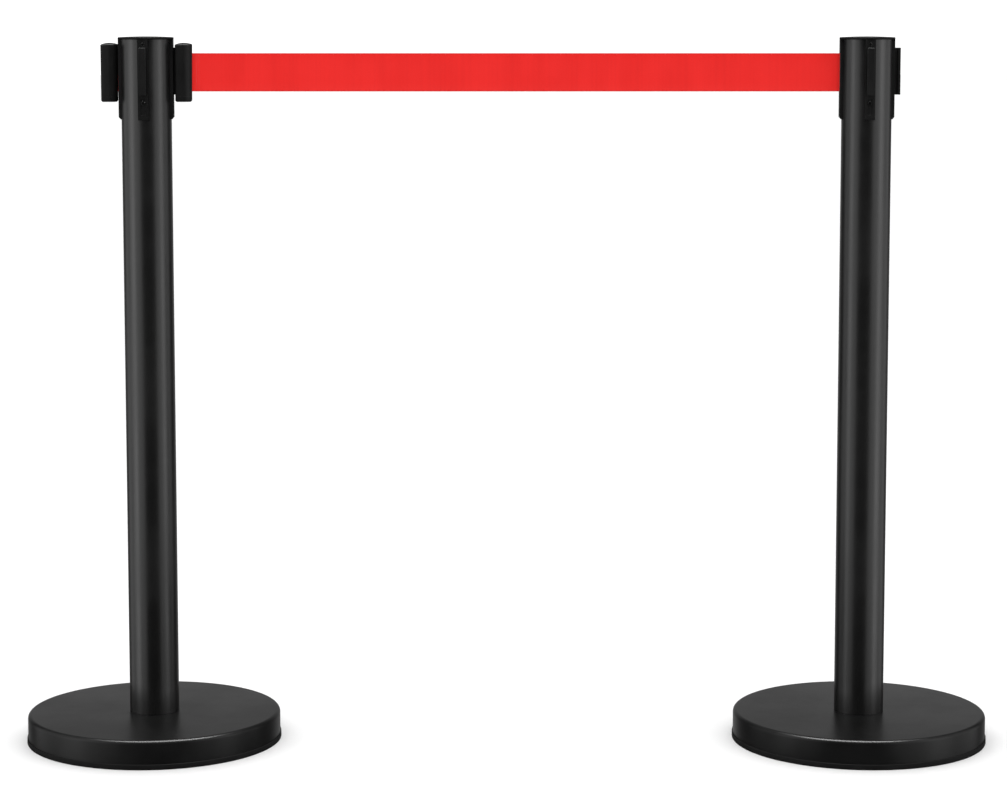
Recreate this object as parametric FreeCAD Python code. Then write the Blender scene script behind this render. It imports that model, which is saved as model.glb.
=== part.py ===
import FreeCAD, Part
import math
import os

# Two identical retractable belt stanchions, linked: the right one's belt is hooked on the left one.
# Millimetres, +Z up.  The origin is on the floor, midway between the two posts.
# Every piece is first built about the axis of its own post, then moved to its place.

# ---- driving dimensions -------------------------------------------------------------------
HEIGHT = 900.0            # floor to the crown of the cap
POST_SPACING = 907.0      # post axis to post axis, as linked
BASE_D = 325.0            # over the rubber rim of the base
BASE_H = 36.5             # floor to the flat top of the base
TUBE_D = 63.0
TUBE_WALL = 1.2
HEAD_D = 70.0             # over the cap, which the corners of the ribs reach
RIB_W = 13.0
RIB_DROP = 104.0          # crown to the lower end of the ribs
BELT_W = 48.0
BELT_T = 0.5
BELT_LENGTH = 2000.0
BELT_DROP = 45.0          # crown to the centre line of the belt
CLIP_DROP = 8.0           # crown to the top of a belt clip
CLIP_H = 74.0
TBAR_DROP = 14.0          # crown to the top of a T-bar receiver
TBAR_H = 59.0
BODY_GAP = 0.3            # least gap between pieces that move past each other
RUNNING = 0.05            # radial clearance of the reel on its spindle

# ---- worked out from them -----------------------------------------------------------------
RIGHT_X = POST_SPACING / 2
LEFT_X = -POST_SPACING / 2
TUBE_R = TUBE_D / 2
TUBE_INNER_R = TUBE_R - TUBE_WALL
HEAD_R = HEAD_D / 2
RIB_FACE_X = math.sqrt(HEAD_R ** 2 - (RIB_W / 2) ** 2)
BASE_R = BASE_D / 2
BELT_Z = HEIGHT - BELT_DROP
BELT_LOW = BELT_Z - BELT_W / 2
BELT_HIGH = BELT_Z + BELT_W / 2

# ---- base ---------------------------------------------------------------------------------
MAT_T = 3.0
MAT_LIP_T = 1.2
MAT_LIP_H = 6.8
MAT_HOLE_R = 20.0
COVER_R = BASE_R - MAT_LIP_T
COVER_T = 1.0
COVER_EDGE_R = 5.0
WEIGHT_R = 150.0
WEIGHT_T = 12.0
WEIGHT_BOSS_R = 45.0
BOLT_R = 6.0              # M12
BOLT_POCKET_R = 16.0
BOLT_POCKET_TOP = 13.0
BOLT_HEAD_H = 7.5
BOLT_FLATS = 18.0
BOLT_TOP = 54.0
WASHER_T = 1.5
WASHER_R = 12.0
FOOT_T = 10.0
FOOT_BOSS_R = 12.0
FOOT_BOSS_TOP = 56.0

# ---- head ---------------------------------------------------------------------------------
CAP_T = 3.5
CAP_CROWN = 1.1
CAP_EDGE_R = 0.8
CAP_BOTTOM = HEIGHT - CAP_T
SPIGOT_R = 27.3
SPIGOT_T = 2.0
SPIGOT_H = 4.0
HEAD_BOTTOM = HEIGHT - RIB_DROP
SLOT_CLEARANCE = 0.2
RIB_END_DROP = 0.5        # the slope under a rib meets the tube this far below the head
RIB_END_RISE = 6.4        # and rises to this height above it, RIB_END_PAST outside the head
RIB_END_PAST = 2.0
CORE_R = TUBE_INNER_R - 0.2
CORE_TOP_R = 27.5
CORE_INNER_R = 26.3
FLOOR_T = 3.0
THRUST_BOSS_R = 7.0
LID_LOW = HEIGHT - 15.5
LID_T = 3.0
LID_BOSS_H = 2.5
SPINDLE_R = 3.0
SPINDLE_HEAD_R = 5.0
SPINDLE_HEAD_H = 4.0
NUT_H = 3.0
NUT_FLATS = 10.0

# ---- belt mouth, on the -X rib --------------------------------------------------------------
MOUTH_W = 2.2
MOUTH_H = BELT_W + 3.0
MOUTH_ROOM_W = 9.4        # room for the guide pins behind the lip
MOUTH_LIP_T = 2.0
GUIDE_R = 1.5
GUIDE_X = -30.3
GUIDE_Y = GUIDE_R + BELT_T / 2 + 0.1
GUIDE_END = 4.0           # length of a pin's end in its hole

# ---- reel and spring ------------------------------------------------------------------------
HUB_R = 10.0
FLANGE_R = 23.0
FLANGE_T = 1.5
REEL_LOW = BELT_LOW - 1.0 - FLANGE_T
REEL_HIGH = BELT_HIGH + 1.0 + FLANGE_T
LAYER_T = 0.55            # one turn of belt on the reel, with the air between turns
BARREL_R = 25.0
BARREL_WALL = 1.5
BARREL_H = 22.0
BARREL_LOW = REEL_LOW - BARREL_H
BARREL_COVER_T = 1.5
ARBOR_R = 5.0
SPRING_W = 16.0
SPRING_T = 0.3
SPRING_TURNS = 8
SPRING_START_GAP = 1.0    # from the arbor to the middle of the first turn

# ---- T-bar receivers ------------------------------------------------------------------------
STEM_W = 4.0
STEM_L = 3.5
TBAR_W = 9.0
TBAR_T = 3.3
TBAR_EDGE_R = 0.6
STRIP_W = 8.6
STRIP_T = 1.6
STRIP_TOP_DROP = 5.5
STRIP_LOW_DROP = 99.0
TBAR_TOP = HEIGHT - TBAR_DROP
TBAR_LOW = TBAR_TOP - TBAR_H
SCREW_R = 1.4
UPPER_SCREW_DROP = 9.5
LOWER_SCREW_DROP = 83.0
SCREW_HEAD_T = 1.2
SCREW_CROSS_W = 0.6       # width and depth of the cross recess
UPPER_HEAD_R = 2.1
LOWER_HEAD_R = 2.6
RECESS_W = 6.4
RECESS_H = 20.0
RECESS_DEPTH = 0.9
RECESS_TOP_DROP = 77.5

# ---- belt clip, built about the axis of its rounded side --------------------------------------
CLIP_TOP = HEIGHT - CLIP_DROP
CLIP_LOW = CLIP_TOP - CLIP_H
CLIP_R = 11.2
CLIP_LOW_R = 10.3
CLIP_FLAT_X = -10.2       # the flat face with the T-slot
CLIP_FLAT_HALF_W = 9.0
CLIP_CORNER_R = 2.4
CLIP_DOME_R = 36.0
CLIP_WALL = 1.1           # wall between the flat face and the T-bar's room
CLIP_ROOM_W = TBAR_W + 2 * BODY_GAP
CLIP_ROOM_D = 4.4
CLIP_SLOT_W = STEM_W + 2 * BODY_GAP
CLIP_STANDOFF = STEM_L - CLIP_WALL - BODY_GAP
PLUG_H = 6.7
PLUG_CHAMFER = 1.8
PLUG_SPIGOT_H = 3.3
PIN_R = 2.0
PIN_X = 2.6
PIN_ROOM_R = 4.4
PIN_SEAT = 5.0            # depth of the pin's hole above the belt
LOOP_GAP = 0.05           # between the pin and the belt's sewn loop
CLIP_MOUTH_W = 1.4
CLIP_MOUTH_MARGIN = 1.5   # of the mouth's height past each edge of the belt
BELT_END_OUT = 10.0       # belt that belongs to the hooked clip, past the clip

Z_AXIS = FreeCAD.Vector(0, 0, 1)
ORIGIN = FreeCAD.Vector(0, 0, 0)


# ---- simple solids ----------------------------------------------------------------------------
def disc(radius, low, high, x=0.0, y=0.0):
    return Part.makeCylinder(radius, high - low, FreeCAD.Vector(x, y, low))


def ring(outer, inner, low, high):
    return disc(outer, low, high).cut(disc(inner, low - 1, high + 1))


def block(x0, x1, y0, y1, z0, z1):
    return Part.makeBox(x1 - x0, y1 - y0, z1 - z0, FreeCAD.Vector(x0, y0, z0))


def slab(x0, x1, width, z0, z1):
    """A block that is centred on the XZ plane."""
    return block(x0, x1, -width / 2, width / 2, z0, z1)


def hexagon(flats, low, high):
    corner = flats / math.sqrt(3)
    points = [
        FreeCAD.Vector(corner * math.cos(k * math.pi / 3), corner * math.sin(k * math.pi / 3), low)
        for k in range(6)
    ]
    outline = Part.makePolygon(points + points[:1])
    return Part.Face(outline).extrude(Z_AXIS * (high - low))


def revolved(profile_edges):
    """Turn a closed profile, drawn in the XZ plane, about the post's axis."""
    face = Part.Face(Part.Wire(profile_edges))
    return face.revolve(ORIGIN, Z_AXIS, 360)


def line(a, b):
    return Part.makeLine(FreeCAD.Vector(*a), FreeCAD.Vector(*b))


def arc(a, middle, b):
    return Part.Arc(FreeCAD.Vector(*a), FreeCAD.Vector(*middle), FreeCAD.Vector(*b)).toShape()


def turned(shape, degrees):
    copy = shape.copy()
    copy.rotate(ORIGIN, Z_AXIS, degrees)
    return copy


def moved(shape, x):
    copy = shape.copy()
    copy.translate(FreeCAD.Vector(x, 0, 0))
    return copy


# ---- base ---------------------------------------------------------------------------------------
def floor_mat():
    mat = ring(BASE_R, MAT_HOLE_R, 0, MAT_T)
    lip = ring(BASE_R, COVER_R, MAT_T, MAT_LIP_H)
    body = mat.fuse(lip).removeSplitter()
    rims = [e for e in body.Edges if abs(e.BoundBox.XMax - BASE_R) < 0.01 and e.BoundBox.ZLength < 0.01]
    return body.makeFillet(MAT_LIP_T * 0.45, rims)


def cover_profile(outer_r, top, edge_r, inner_r, low):
    """Closed outline, in the XZ plane, of a flat disc with a rounded rim and a skirt down to low."""
    mid = edge_r * (1 - math.sqrt(0.5))
    return [
        line((inner_r, 0, low), (outer_r, 0, low)),
        line((outer_r, 0, low), (outer_r, 0, top - edge_r)),
        arc((outer_r, 0, top - edge_r), (outer_r - mid, 0, top - mid), (outer_r - edge_r, 0, top)),
        line((outer_r - edge_r, 0, top), (inner_r, 0, top)),
        line((inner_r, 0, top), (inner_r, 0, low)),
    ]


def base_cover():
    hole_r = BOLT_R + 1.0
    outside = revolved(cover_profile(COVER_R, BASE_H, COVER_EDGE_R, hole_r, MAT_T))
    inside = revolved(
        cover_profile(COVER_R - COVER_T, BASE_H - COVER_T, COVER_EDGE_R - COVER_T, 0.5, MAT_T - 1)
    )
    return outside.cut(inside)


def base_weight():
    plate = disc(WEIGHT_R, MAT_T, MAT_T + WEIGHT_T)
    boss = disc(WEIGHT_BOSS_R, MAT_T, BASE_H - COVER_T)
    casting = plate.fuse(boss).removeSplitter()
    casting = casting.cut(disc(BOLT_R + 0.5, 0, BASE_H))
    return casting.cut(disc(BOLT_POCKET_R, 0, BOLT_POCKET_TOP))


def base_washer():
    return ring(WASHER_R, BOLT_R + 0.5, BOLT_POCKET_TOP - WASHER_T, BOLT_POCKET_TOP)


def base_bolt():
    head_top = BOLT_POCKET_TOP - WASHER_T
    head = hexagon(BOLT_FLATS, head_top - BOLT_HEAD_H, head_top)
    return head.fuse(disc(BOLT_R, head_top, BOLT_TOP)).removeSplitter()


def tube_foot():
    """Threaded plug welded into the lower end of the tube."""
    plate = disc(TUBE_INNER_R, BASE_H, BASE_H + FOOT_T)
    boss = disc(FOOT_BOSS_R, BASE_H, FOOT_BOSS_TOP)
    return plate.fuse(boss).cut(disc(BOLT_R, BASE_H - 1, FOOT_BOSS_TOP + 1)).removeSplitter()


# ---- tube and head --------------------------------------------------------------------------------
def post_tube():
    tube = ring(TUBE_R, TUBE_INNER_R, BASE_H, CAP_BOTTOM)
    slot_low = HEAD_BOTTOM - SLOT_CLEARANCE
    for quarter in range(4):
        slot = slab(TUBE_R - 8, TUBE_R + 8, RIB_W + 2 * SLOT_CLEARANCE, slot_low, HEIGHT)
        tube = tube.cut(turned(slot, 90 * quarter))
    return tube


def rib():
    """One flat-faced rib of the head, on +X, with its lower end sloped back to the tube."""
    body = slab(CORE_INNER_R, RIB_FACE_X, RIB_W, HEAD_BOTTOM, CAP_BOTTOM)
    half = RIB_W / 2 + 1
    outside = HEAD_R + RIB_END_PAST
    corners = [
        FreeCAD.Vector(TUBE_R, -half, HEAD_BOTTOM - RIB_END_DROP),
        FreeCAD.Vector(outside, -half, HEAD_BOTTOM - RIB_END_DROP),
        FreeCAD.Vector(outside, -half, HEAD_BOTTOM + RIB_END_RISE),
    ]
    wedge = Part.Face(Part.makePolygon(corners + corners[:1])).extrude(FreeCAD.Vector(0, 2 * half, 0))
    return body.cut(wedge)


def screw_bores(radius):
    """The two radial screw holes behind a receiver on +X."""
    bores = []
    for drop in (UPPER_SCREW_DROP, LOWER_SCREW_DROP):
        base = FreeCAD.Vector(CORE_INNER_R - 1, 0, HEIGHT - drop)
        bores.append(Part.makeCylinder(radius, HEAD_R, base, FreeCAD.Vector(1, 0, 0)))
    return bores[0].fuse(bores[1])


def receiver_pocket():
    strip_x = RIB_FACE_X - STRIP_T
    return slab(strip_x, RIB_FACE_X + 2, STRIP_W, HEIGHT - STRIP_LOW_DROP, HEIGHT - STRIP_TOP_DROP)


def belt_mouth():
    """The space that the belt leaves through, on -X: a wide room for the pins and a narrow lip."""
    low = BELT_Z - MOUTH_H / 2
    high = BELT_Z + MOUTH_H / 2
    room = slab(-(RIB_FACE_X - MOUTH_LIP_T), -(CORE_INNER_R - 1), MOUTH_ROOM_W, low, high)
    lip = slab(-HEAD_R, -(CORE_INNER_R - 1), MOUTH_W, low, high)
    space = room.fuse(lip)
    for side in (-1, 1):
        pin_hole = disc(GUIDE_R, low - GUIDE_END, high + GUIDE_END, GUIDE_X, side * GUIDE_Y)
        space = space.fuse(pin_hole)
    return space


def cassette_body():
    core = ring(CORE_R, CORE_INNER_R, HEAD_BOTTOM, CAP_BOTTOM)
    for quarter in range(4):
        core = core.fuse(turned(rib(), 90 * quarter))
    core = core.cut(disc(CORE_INNER_R, HEAD_BOTTOM - 1, CAP_BOTTOM + 1))
    core = core.cut(disc(CORE_TOP_R, LID_LOW, CAP_BOTTOM + 1))
    floor = disc(CORE_INNER_R, HEAD_BOTTOM, HEAD_BOTTOM + FLOOR_T)
    thrust_top = BARREL_LOW - BARREL_COVER_T - 0.5
    floor = floor.fuse(disc(THRUST_BOSS_R, HEAD_BOTTOM, thrust_top))
    floor = floor.cut(disc(SPINDLE_R, HEAD_BOTTOM - 1, thrust_top + 1))
    core = core.fuse(floor).removeSplitter()
    for degrees in (0, 90, -90):
        core = core.cut(turned(receiver_pocket(), degrees))
        core = core.cut(turned(screw_bores(SCREW_R), degrees))
    return core.cut(belt_mouth())


def cassette_lid():
    plate = disc(CORE_TOP_R - 0.1, LID_LOW, LID_LOW + LID_T)
    boss = disc(THRUST_BOSS_R, LID_LOW - LID_BOSS_H, LID_LOW)
    return plate.fuse(boss).cut(disc(SPINDLE_R, LID_LOW - 5, LID_LOW + 5)).removeSplitter()


def top_cap():
    crown_r = (HEAD_R ** 2 + CAP_CROWN ** 2) / (2 * CAP_CROWN)
    crown = Part.makeSphere(crown_r, FreeCAD.Vector(0, 0, HEIGHT - crown_r))
    cap = disc(HEAD_R, CAP_BOTTOM, HEIGHT + 1).common(crown)
    rim = [e for e in cap.Edges if abs(e.BoundBox.ZMin - (HEIGHT - CAP_CROWN)) < 0.01]
    cap = cap.makeFillet(CAP_EDGE_R, rim)
    spigot = ring(SPIGOT_R, SPIGOT_R - SPIGOT_T, CAP_BOTTOM - SPIGOT_H, CAP_BOTTOM)
    return cap.fuse(spigot).removeSplitter()


def guide_pins():
    low = BELT_Z - MOUTH_H / 2 - GUIDE_END
    high = BELT_Z + MOUTH_H / 2 + GUIDE_END
    return Part.makeCompound([disc(GUIDE_R, low, high, GUIDE_X, side * GUIDE_Y) for side in (-1, 1)])


# ---- receivers ----------------------------------------------------------------------------------
def receiver():
    """A T-bar on its backing strip, on +X."""
    strip = receiver_pocket().common(slab(0, RIB_FACE_X, RIB_W, HEAD_BOTTOM - 1, HEIGHT))
    stem = slab(RIB_FACE_X - STRIP_T, HEAD_R + STEM_L, STEM_W, TBAR_LOW, TBAR_TOP)
    flange = slab(HEAD_R + STEM_L, HEAD_R + STEM_L + TBAR_T, TBAR_W, TBAR_LOW, TBAR_TOP)
    outer_x = HEAD_R + STEM_L + TBAR_T
    edges = [e for e in flange.Edges if e.BoundBox.XMin > outer_x - 0.01]
    flange = flange.makeFillet(TBAR_EDGE_R, edges)
    recess_top = HEIGHT - RECESS_TOP_DROP
    recess_x = RIB_FACE_X - RECESS_DEPTH
    recess = slab(recess_x, HEAD_R, RECESS_W, recess_top - RECESS_H, recess_top)
    strip = strip.cut(recess).cut(screw_bores(SCREW_R))
    dimple = Part.makeCylinder(
        UPPER_HEAD_R + 0.1,
        SCREW_HEAD_T + 2,
        FreeCAD.Vector(RIB_FACE_X - SCREW_HEAD_T, 0, HEIGHT - UPPER_SCREW_DROP),
        FreeCAD.Vector(1, 0, 0),
    )
    return strip.cut(dimple).fuse([stem, flange]).removeSplitter()


def radial_screw(seat_x, head_r, drop):
    """A cross-recess screw that points at the post's axis, its head seated at seat_x."""
    inward = FreeCAD.Vector(-1, 0, 0)
    outward = FreeCAD.Vector(1, 0, 0)
    z = HEIGHT - drop
    seat = FreeCAD.Vector(seat_x, 0, z)
    shank = Part.makeCylinder(SCREW_R, seat_x - CORE_INNER_R - 0.5, seat, inward)
    head = Part.makeCylinder(head_r, SCREW_HEAD_T, seat, outward)
    outer = [e for e in head.Edges if e.BoundBox.XMin > seat_x + SCREW_HEAD_T - 0.01]
    head = head.makeFillet(SCREW_HEAD_T * 0.4, outer)
    face_x = seat_x + SCREW_HEAD_T
    arm = head_r * 0.6
    half = SCREW_CROSS_W / 2
    bottom_x = face_x - SCREW_CROSS_W
    cross = block(bottom_x, face_x + 1, -arm, arm, z - half, z + half)
    cross = cross.fuse(block(bottom_x, face_x + 1, -half, half, z - arm, z + arm))
    return head.cut(cross).fuse(shank).removeSplitter()


def receiver_screws():
    upper = radial_screw(RIB_FACE_X - SCREW_HEAD_T, UPPER_HEAD_R, UPPER_SCREW_DROP)
    lower = radial_screw(RIB_FACE_X - RECESS_DEPTH, LOWER_HEAD_R, LOWER_SCREW_DROP)
    screws = [turned(screw, degrees) for degrees in (0, 90, -90) for screw in (upper, lower)]
    return Part.makeCompound(screws)


# ---- reel and spring ------------------------------------------------------------------------------
def roll_radius(wound_length):
    """Outer radius of the belt on the reel for a length that is wound up."""
    return math.sqrt(HUB_R ** 2 + wound_length * LAYER_T / math.pi)


def belt_reel():
    hub = disc(HUB_R, REEL_LOW, REEL_HIGH)
    lower = disc(FLANGE_R, REEL_LOW, REEL_LOW + FLANGE_T)
    upper = disc(FLANGE_R, REEL_HIGH - FLANGE_T, REEL_HIGH)
    reel = hub.fuse([lower, upper]).removeSplitter()
    return reel.cut(disc(SPINDLE_R + RUNNING, REEL_LOW - 1, REEL_HIGH + 1))


def wound_belt(wound_length):
    return ring(roll_radius(wound_length), HUB_R, BELT_LOW, BELT_HIGH)


def spring_barrel():
    cup = disc(BARREL_R, BARREL_LOW, REEL_LOW)
    cup = cup.cut(disc(BARREL_R - BARREL_WALL, BARREL_LOW - 1, REEL_LOW - BARREL_WALL))
    return cup.cut(disc(SPINDLE_R + BODY_GAP, BARREL_LOW, REEL_LOW + 1))


def barrel_cover():
    return ring(BARREL_R, SPINDLE_R + BODY_GAP, BARREL_LOW - BARREL_COVER_T, BARREL_LOW)


def reel_spindle():
    shaft = disc(SPINDLE_R, HEAD_BOTTOM, LID_LOW + LID_T + NUT_H + 1)
    head = disc(SPINDLE_HEAD_R, HEAD_BOTTOM - SPINDLE_HEAD_H, HEAD_BOTTOM)
    return shaft.fuse(head).removeSplitter()


def spindle_nut():
    low = LID_LOW + LID_T
    return hexagon(NUT_FLATS, low, low + NUT_H).cut(disc(SPINDLE_R, low - 1, low + NUT_H + 1))


def spring_arbor():
    middle = (BARREL_LOW + REEL_LOW - BARREL_WALL) / 2
    half = SPRING_W / 2 + 1
    return ring(ARBOR_R, SPINDLE_R, middle - half, middle + half)


def power_spring():
    """A flat steel ribbon between the arbor and the barrel: a spiral of half circles on two centres."""
    first_r = ARBOR_R + SPRING_START_GAP
    last_r = BARREL_R - BARREL_WALL - BODY_GAP - SPRING_T
    halves = 2 * SPRING_TURNS
    growth = (last_r - first_r) / halves
    middle = (BARREL_LOW + REEL_LOW - BARREL_WALL) / 2
    low = middle - SPRING_W / 2

    def face_of_ribbon(offset):
        """One face of the ribbon, as arcs, with its first and last points."""
        edges = []
        for k in range(halves):
            side = 1 if k % 2 == 0 else -1
            centre = side * growth / 2
            radius = first_r + growth * k + offset
            start = (centre - side * radius, 0, low)
            crest = (centre, side * radius, low)
            finish = (centre + side * radius, 0, low)
            edges.append(arc(start, crest, finish))
            if k == 0:
                first = start
        return edges, first, finish

    inner, inner_first, inner_last = face_of_ribbon(-SPRING_T / 2)
    outer, outer_first, outer_last = face_of_ribbon(SPRING_T / 2)
    ends = [line(inner_last, outer_last), line(outer_first, inner_first)]
    outline = Part.Wire(Part.__sortEdges__(inner + outer + ends))
    return Part.Face(outline).extrude(Z_AXIS * SPRING_W)


def belt_lead(wound_length):
    """The belt from its roll, past the front guide pin, to the mouth."""
    roll_r = roll_radius(wound_length) + BODY_GAP + BELT_T / 2
    pin_r = GUIDE_Y
    pin = FreeCAD.Vector(GUIDE_X, -GUIDE_Y, 0)
    between = math.acos((roll_r + pin_r) / pin.Length)
    across = math.atan2(pin.y, pin.x) + 2 * math.pi + between
    normal = FreeCAD.Vector(math.cos(across), math.sin(across), 0)
    half = BELT_T / 2

    def side(offset):
        """One face of the belt: straight from the roll, round the pin, straight to the mouth."""
        leave = normal * (roll_r - offset)
        meet = pin - normal * (pin_r + offset)
        bend = (FreeCAD.Vector(0, 1, 0) - normal).normalize() * (pin_r + offset)
        past = FreeCAD.Vector(GUIDE_X, offset, 0)
        exit_point = FreeCAD.Vector(-(RIB_FACE_X - 0.1), offset, 0)
        edges = [
            Part.makeLine(leave, meet),
            Part.Arc(meet, pin + bend, past).toShape(),
            Part.makeLine(past, exit_point),
        ]
        return edges, leave, exit_point

    front, front_start, front_end = side(-half)
    back, back_start, back_end = side(half)
    closing = [Part.makeLine(front_end, back_end), Part.makeLine(back_start, front_start)]
    outline = Part.Wire(Part.__sortEdges__(front + back + closing))
    lead = Part.Face(outline).extrude(Z_AXIS * BELT_W)
    lead.translate(FreeCAD.Vector(0, 0, BELT_LOW))
    return lead


# ---- belt clip --------------------------------------------------------------------------------------
def clip_outline(radius, inset, z):
    """Plan of the clip: half a circle towards the belt, and a flat face between rounded corners."""
    radius -= inset
    flat_x = CLIP_FLAT_X + inset
    flat_half = CLIP_FLAT_HALF_W * radius / CLIP_R
    corner = FreeCAD.Vector(flat_x, flat_half, 0)
    along_side = FreeCAD.Vector(-flat_x, radius - flat_half, 0).normalize()
    along_flat = FreeCAD.Vector(0, -1, 0)
    inward = (along_side + along_flat).normalize()
    half_angle = along_side.getAngle(along_flat) / 2
    centre = corner + inward * (CLIP_CORNER_R / math.sin(half_angle))
    tangent = CLIP_CORNER_R / math.tan(half_angle)
    on_side = corner + along_side * tangent
    on_arc = centre - inward * CLIP_CORNER_R
    on_flat = corner + along_flat * tangent

    def at(point, sign=1):
        return (point.x, sign * point.y, z)

    return Part.Wire(
        [
            arc((0, -radius, z), (radius, 0, z), (0, radius, z)),
            line((0, radius, z), at(on_side)),
            arc(at(on_side), at(on_arc), at(on_flat)),
            line(at(on_flat), at(on_flat, -1)),
            arc(at(on_flat, -1), at(on_arc, -1), at(on_side, -1)),
            line(at(on_side, -1), (0, -radius, z)),
        ]
    )


def clip_shell():
    """The whole clip's outside: tapered, with rounded corners, a domed top and a bevelled foot."""
    bevel_top = CLIP_LOW + PLUG_CHAMFER
    bevel_r = CLIP_LOW_R + (CLIP_R - CLIP_LOW_R) * PLUG_CHAMFER / CLIP_H
    foot = clip_outline(bevel_r, PLUG_CHAMFER, CLIP_LOW)
    waist = clip_outline(bevel_r, 0, bevel_top)
    top = clip_outline(CLIP_R, 0, CLIP_TOP)
    shell = Part.makeLoft([foot, waist], True, True).fuse(Part.makeLoft([waist, top], True, True))
    dome = Part.makeSphere(CLIP_DOME_R, FreeCAD.Vector(0, 0, CLIP_TOP - CLIP_DOME_R))
    column = disc(CLIP_R * 2, CLIP_LOW - 1, CLIP_TOP - CLIP_DOME_R / 3)
    return shell.common(dome.fuse(column))


def tbar_room():
    """The T-shaped room that a receiver fits in, open at the clip's foot."""
    top = TBAR_TOP + BODY_GAP
    room_x = CLIP_FLAT_X + CLIP_WALL
    room = slab(room_x, room_x + CLIP_ROOM_D, CLIP_ROOM_W, CLIP_LOW - 1, top)
    slot = slab(CLIP_FLAT_X - 1, room_x + 1, CLIP_SLOT_W, CLIP_LOW - 1, top)
    return room.fuse(slot)


def clip_body():
    plug_top = CLIP_LOW + PLUG_H
    shell = clip_shell().cut(disc(CLIP_R * 2, CLIP_LOW - 1, plug_top))
    mouth_low = BELT_LOW - CLIP_MOUTH_MARGIN
    mouth_high = BELT_HIGH + CLIP_MOUTH_MARGIN
    pin_room = disc(PIN_ROOM_R, plug_top - 1, mouth_high, PIN_X)
    pin_hole = disc(PIN_R, BELT_HIGH, BELT_HIGH + PIN_SEAT, PIN_X)
    mouth = slab(PIN_X, CLIP_R + 2, CLIP_MOUTH_W, mouth_low, mouth_high)
    return shell.cut(tbar_room()).cut(pin_room).cut(pin_hole).cut(mouth)


def clip_plug():
    plug_top = CLIP_LOW + PLUG_H
    band = clip_shell().common(disc(CLIP_R * 2, CLIP_LOW - 1, plug_top))
    spigot = disc(PIN_ROOM_R - 0.1, plug_top - 1, plug_top + PLUG_SPIGOT_H, PIN_X)
    return band.fuse(spigot).removeSplitter().cut(tbar_room())


def belt_pin():
    return disc(PIN_R, CLIP_LOW + PLUG_H + PLUG_SPIGOT_H, BELT_HIGH + PIN_SEAT, PIN_X)


def belt_end(reach):
    """The belt's sewn loop round its pin, with the belt out to reach."""
    loop_r = PIN_R + LOOP_GAP
    loop = moved(ring(loop_r + BELT_T, loop_r, BELT_LOW, BELT_HIGH), PIN_X)
    strip = slab(PIN_X + loop_r + BELT_T / 2, reach, BELT_T, BELT_LOW, BELT_HIGH)
    return loop.fuse(strip).removeSplitter()


# ---- the two stanchions ---------------------------------------------------------------------------------
def stanchion(belt_out):
    """Every piece of one stanchion but its clip, about the post's axis, by name."""
    wound = BELT_LENGTH - belt_out
    return {
        "floor_mat": floor_mat(),
        "base_weight": base_weight(),
        "base_cover": base_cover(),
        "base_washer": base_washer(),
        "base_bolt": base_bolt(),
        "tube_foot": tube_foot(),
        "post_tube": post_tube(),
        "cassette_body": cassette_body(),
        "cassette_lid": cassette_lid(),
        "top_cap": top_cap(),
        "guide_pins": guide_pins(),
        "receiver_side": receiver(),
        "receiver_rear": turned(receiver(), 90),
        "receiver_front": turned(receiver(), -90),
        "receiver_screws": receiver_screws(),
        "reel_spindle": reel_spindle(),
        "spindle_nut": spindle_nut(),
        "spring_arbor": spring_arbor(),
        "power_spring": power_spring(),
        "belt_reel": belt_reel(),
        "wound_belt": wound_belt(wound),
        "spring_barrel": spring_barrel(),
        "barrel_cover": barrel_cover(),
        "belt_lead": belt_lead(wound),
    }


def clip(reach):
    """Every piece of one belt clip, about the axis of its rounded side, by name."""
    return {
        "clip_body": clip_body(),
        "clip_plug": clip_plug(),
        "belt_pin": belt_pin(),
        "belt_end": belt_end(reach),
    }


def save(shape, name):
    solids = shape.Solids
    assert solids and all(s.isValid() for s in solids), name
    shape.exportStep(os.path.join("parts", name + ".step"))
    print(name, len(solids), round(shape.Volume / 1000, 2), "cm3")


def main():
    os.makedirs("parts", exist_ok=True)
    hooked_x = LEFT_X + HEAD_R + CLIP_STANDOFF - CLIP_FLAT_X
    parked_x = LEFT_X - RIB_FACE_X - BODY_GAP - CLIP_R
    mouth_x = RIGHT_X - RIB_FACE_X - BODY_GAP
    belt_start_x = hooked_x + CLIP_R + BELT_END_OUT
    for name, shape in stanchion(mouth_x - hooked_x).items():
        save(moved(shape, RIGHT_X), "right_" + name)
    for name, shape in stanchion(0).items():
        save(moved(shape, LEFT_X), "left_" + name)
    for name, shape in clip(CLIP_R + BELT_END_OUT).items():
        save(moved(shape, hooked_x), "right_" + name)
    for name, shape in clip(CLIP_R).items():
        save(moved(shape, parked_x), "left_" + name)
    belt = slab(belt_start_x + BODY_GAP, mouth_x, BELT_T, BELT_LOW, BELT_HIGH)
    save(belt, "right_belt")
    print("roll radii", roll_radius(BELT_LENGTH - (mouth_x - hooked_x)), roll_radius(BELT_LENGTH))


main()
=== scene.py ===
import math

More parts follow.
